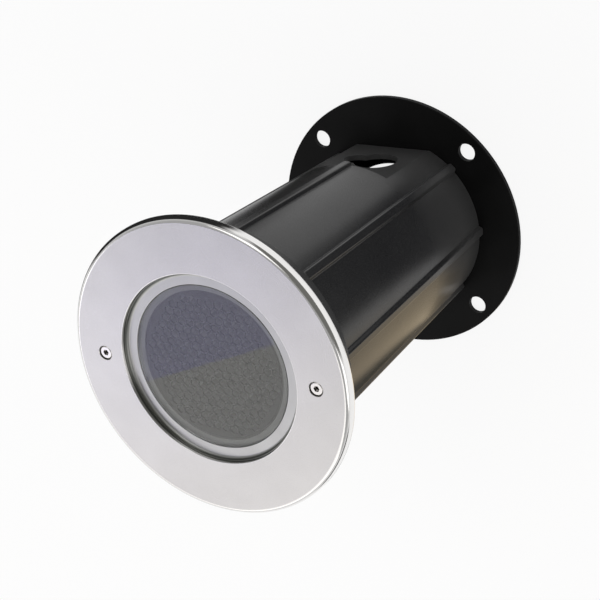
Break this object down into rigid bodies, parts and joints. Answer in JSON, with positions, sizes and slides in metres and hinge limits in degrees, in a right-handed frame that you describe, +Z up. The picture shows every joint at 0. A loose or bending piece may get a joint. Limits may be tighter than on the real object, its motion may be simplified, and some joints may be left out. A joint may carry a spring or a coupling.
{
  "type": "in-ground well light",
  "caption": "Round in-ground well light: steel trim with glass and honeycomb louvre over a ribbed black sleeve, with a lift-out sealed lamp that turns and tilts.",
  "frame": {"origin": "centre of the base flange's underside, on the light's axis", "axes": "+Z up along the light's axis towards the glass; the four anchor holes lie on X and Y; the cable entry faces between -X and +Y"},
  "size_m": [0.165, 0.165, 0.211],
  "materials": {
    "stainless": "brushed and polished at the rim",
    "bezel_alloy": "satin",
    "clear_glass": "polished",
    "seal_grey": "matt",
    "louvre_grey": "matt",
    "sleeve_black": "semi-gloss moulded",
    "flange_black": "matt",
    "rubber_black": "matt",
    "screw_steel": "bright",
    "brass": "turned",
    "cast_alloy": "cast",
    "nylon_black": "moulded",
    "nylon_white": "moulded",
    "board_green": "satin",
    "board_white": "satin",
    "emitter_yellow": "soft",
    "mirror_alloy": "polished"
  },
  "bodies": {
    "sleeve": {"mounting_sleeve": "sleeve_black", "base_flange": "flange_black", "flange_screws": "screw_steel", "threaded_inserts": "brass", "trim_gasket": "rubber_black"},
    "light_unit": {"trim_ring": "stainless", "bezel_ring": "bezel_alloy", "lens_seal": "seal_grey", "lens_glass": "clear_glass", "louvre_frame": "louvre_grey", "honeycomb_louvre": "louvre_grey", "lamp_housing": "cast_alloy", "housing_gasket": "rubber_black", "housing_screws": "screw_steel", "driver_case": "nylon_black", "driver_board": "board_green", "driver_screws": "screw_steel", "driver_lid": "nylon_black", "terminal_block": "nylon_white", "turntable_plate": "cast_alloy", "plate_circlip": "screw_steel", "pivot_bolt": "screw_steel", "pivot_nut": "screw_steel", "cable_gland": "nylon_black", "gland_washer": "rubber_black", "gland_locknut": "nylon_black", "gland_nut": "nylon_black", "gland_seal": "rubber_black"},
    "yoke": {"turntable_washer": "nylon_white", "tilt_yoke": "bezel_alloy"},
    "lamp_head": {"lamp_barrel": "cast_alloy", "heat_sink": "cast_alloy", "led_board": "board_white", "led_emitter": "emitter_yellow", "reflector": "mirror_alloy", "beam_cover": "clear_glass", "retaining_ring": "nylon_black", "tilt_screws": "screw_steel", "friction_washers": "rubber_black"},
    "left_screw": {"face_screw_left": "screw_steel"},
    "right_screw": {"face_screw_right": "screw_steel"}
  },
  "joints": [
    {"name": "light_unit_lift", "type": "slide", "parent": "sleeve", "child": "light_unit", "axis": [0, 0, 1], "range_m": [0, 0.165]},
    {"name": "yoke_turn", "type": "hinge", "parent": "light_unit", "child": "yoke", "pos_m": [0, 0, 0.118], "axis": [0, 0, 1], "range_deg": [-175, 175]},
    {"name": "lamp_tilt", "type": "hinge", "parent": "yoke", "child": "lamp_head", "pos_m": [0, 0, 0.156], "axis": [1, 0, 0], "range_deg": [-15, 15]},
    {"name": "left_screw_turn", "type": "hinge", "parent": "light_unit", "child": "left_screw", "pos_m": [-0.04525, -0.04525, 0.209], "axis": [0, 0, 1], "continuous": true},
    {"name": "right_screw_turn", "type": "hinge", "parent": "light_unit", "child": "right_screw", "pos_m": [0.04525, 0.04525, 0.209], "axis": [0, 0, 1], "continuous": true}
  ]
}
